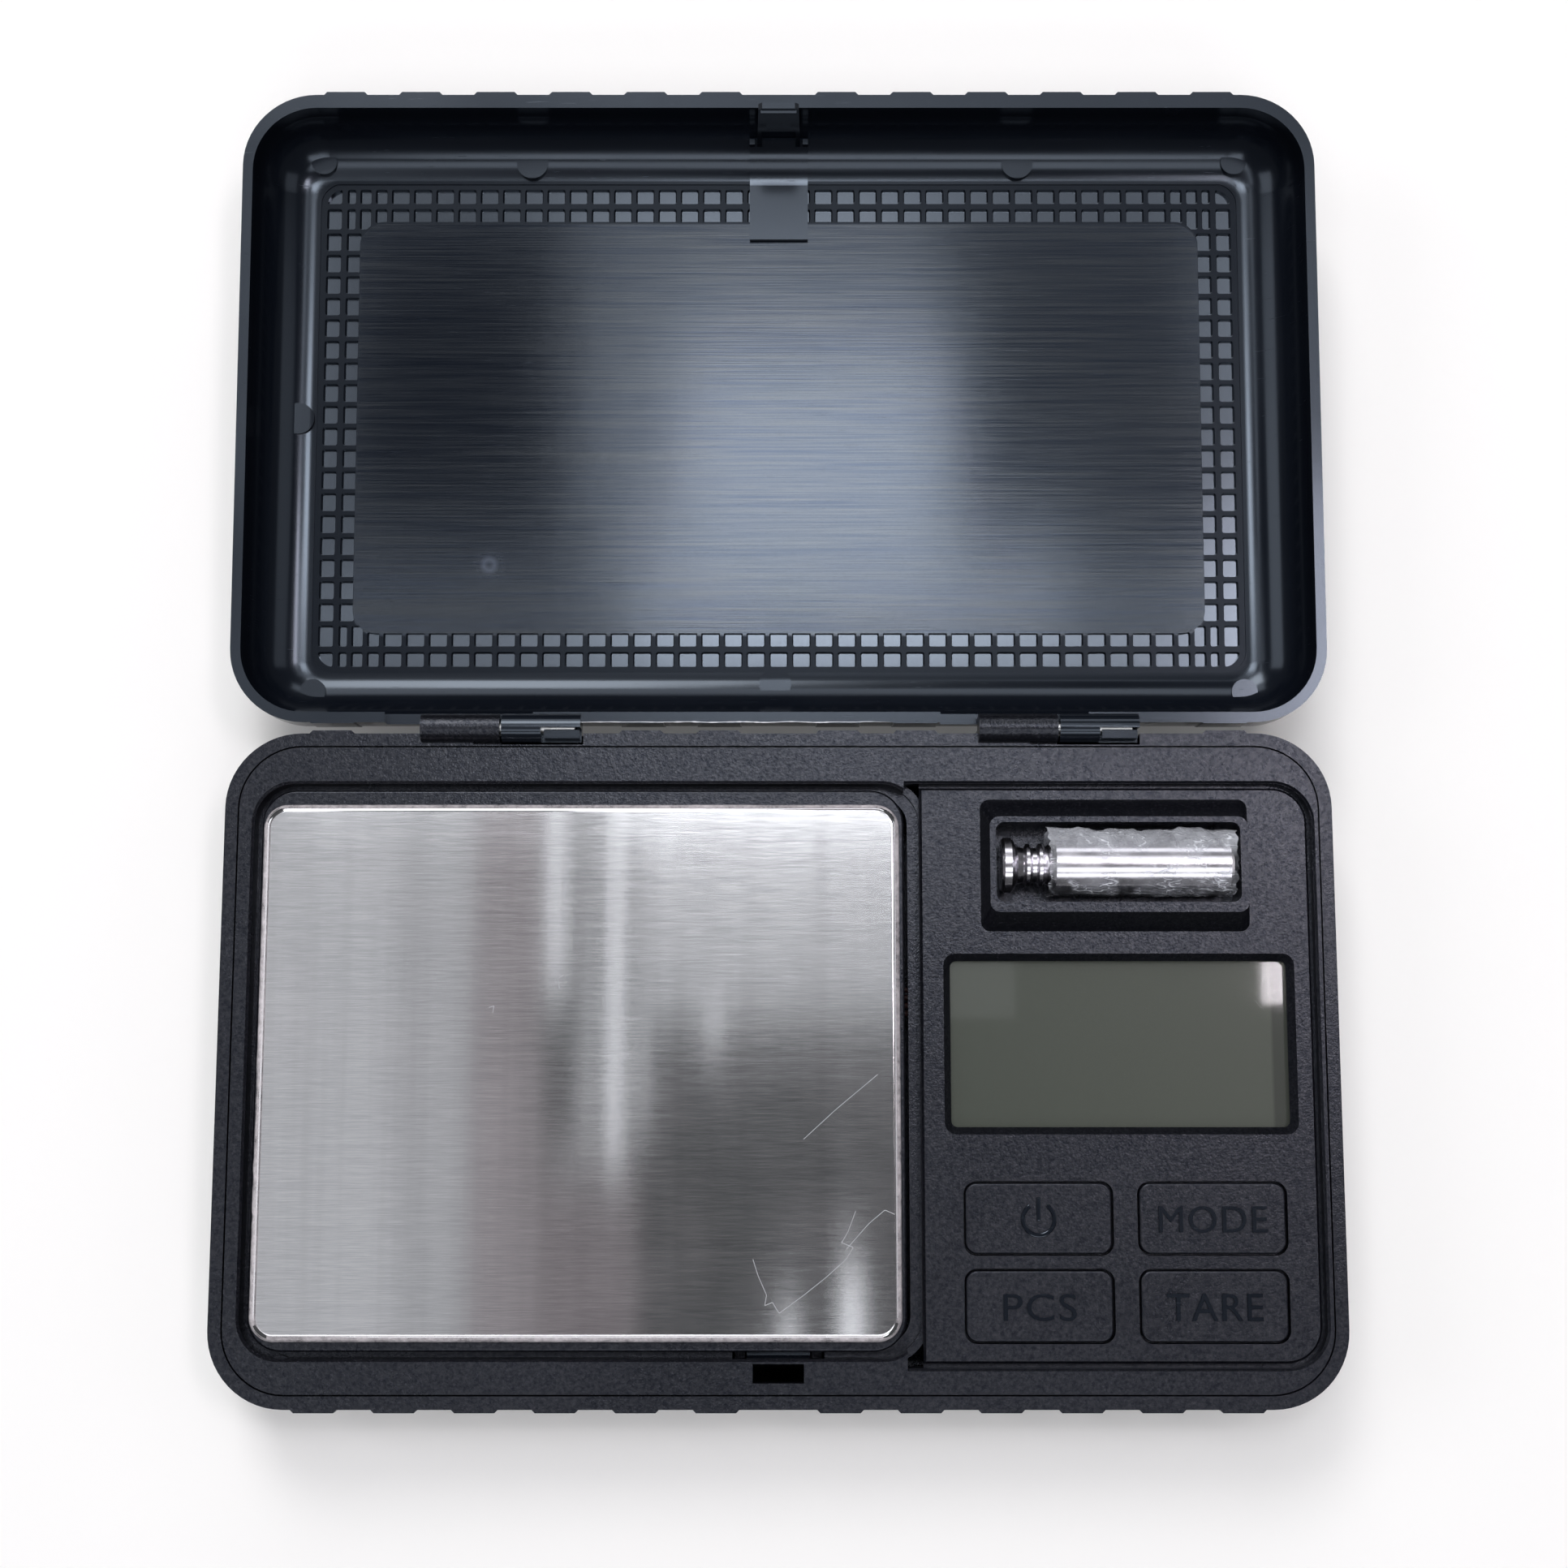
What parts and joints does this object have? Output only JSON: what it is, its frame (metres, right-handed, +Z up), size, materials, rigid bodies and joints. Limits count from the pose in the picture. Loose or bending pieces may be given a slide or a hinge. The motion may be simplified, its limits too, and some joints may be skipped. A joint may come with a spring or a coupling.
{
  "type": "digital gram scale",
  "caption": "Pocket digital gram scale with a hinged lid, steel weighing pan, display, four keys and a calibration weight stored in a raised pocket.",
  "frame": {"origin": "the middle of the base's flat underside", "axes": "+Z up, +Y from the front wall to the hinge, +X to the right, towards the keys and display"},
  "size_m": [0.14, 0.1689, 0.024],
  "materials": {
    "case_plastic": "fine spark-eroded grain",
    "lid_plastic": "smooth semi-gloss, brushed plateau",
    "key_plastic": "fine grain",
    "clip_plastic": "smooth",
    "pan_steel": "brushed along X",
    "clear_film": "thin clear film",
    "window_clear": "polished",
    "display_glass": "grey-green display",
    "light_guide": "white",
    "contact_rubber": "plain",
    "board": "green board",
    "chip_cover": "black resin",
    "switch_body": "plain",
    "screw_steel": "plated",
    "beam_aluminium": "milled",
    "wire_sleeve": "plain",
    "foot_rubber": "plain",
    "pin_steel": "ground",
    "cell_jacket": "printed jacket without marks",
    "contact_steel": "nickel plated",
    "foam_tape": "foam",
    "weight_chrome": "polished",
    "button_plastic": "polished"
  },
  "bodies": {
    "base": {"bottom_case": "case_plastic", "top_cover": "case_plastic", "lcd_window": "window_clear", "lcd_glass": "display_glass", "lcd_light_guide": "light_guide", "contact_strip": "contact_rubber", "circuit_board": "board", "board_screws": "screw_steel", "controller_chip": "chip_cover", "tact_switches": "switch_body", "load_cell": "beam_aluminium", "load_cell_screws": "screw_steel", "load_cell_wires": "wire_sleeve", "case_screws": "screw_steel", "foot_pads": "foot_rubber", "hinge_pin_left": "pin_steel", "hinge_pin_right": "pin_steel", "cell_front": "cell_jacket", "cell_rear": "cell_jacket", "contact_springs": "contact_steel", "cell_contacts": "contact_steel", "release_spring": "contact_steel"},
    "platform": {"pan_carrier": "case_plastic", "weighing_pan": "pan_steel", "pan_film": "clear_film", "foam_tapes": "foam_tape", "carrier_screws": "screw_steel"},
    "lid": {"lid_shell": "lid_plastic", "lid_clip": "clip_plastic"},
    "key_power": {"key_power": "key_plastic"},
    "key_mode": {"key_mode": "key_plastic"},
    "key_pcs": {"key_pcs": "key_plastic"},
    "key_tare": {"key_tare": "key_plastic"},
    "button": {"release_button": "button_plastic"},
    "weight": {"calibration_weight": "weight_chrome", "weight_wrap": "clear_film"},
    "door": {"battery_door": "case_plastic"}
  },
  "joints": [
    {"name": "lid_hinge", "type": "hinge", "parent": "base", "child": "lid", "pos_m": [0, 0.04246, 0.0161], "axis": [1, 0, 0], "range_deg": [0, 178.2]},
    {"name": "platform_press", "type": "slide", "parent": "base", "child": "platform", "axis": [0, 0, -1], "range_m": [0, 0.0004], "stiffness_N_per_m": 5000, "deforming": ["load_cell"]},
    {"name": "key_power_press", "type": "slide", "parent": "base", "child": "key_power", "axis": [0, 0, -1], "range_m": [0, 0.0005], "stiffness_N_per_m": 600},
    {"name": "key_mode_press", "type": "slide", "parent": "base", "child": "key_mode", "axis": [0, 0, -1], "range_m": [0, 0.0005], "stiffness_N_per_m": 600},
    {"name": "key_pcs_press", "type": "slide", "parent": "base", "child": "key_pcs", "axis": [0, 0, -1], "range_m": [0, 0.0005], "stiffness_N_per_m": 600},
    {"name": "key_tare_press", "type": "slide", "parent": "base", "child": "key_tare", "axis": [0, 0, -1], "range_m": [0, 0.0005], "stiffness_N_per_m": 600},
    {"name": "button_press", "type": "slide", "parent": "base", "child": "button", "axis": [0, 1, 0], "range_m": [0, 0.0012], "stiffness_N_per_m": 800, "deforming": ["release_spring"]},
    {"name": "weight_lift", "type": "slide", "parent": "base", "child": "weight", "axis": [0, 0, -1], "range_m": [-0.03, 0]},
    {"name": "door_slide", "type": "slide", "parent": "base", "child": "door", "axis": [0, -1, 0], "range_m": [0, 0.03]}
  ]
}
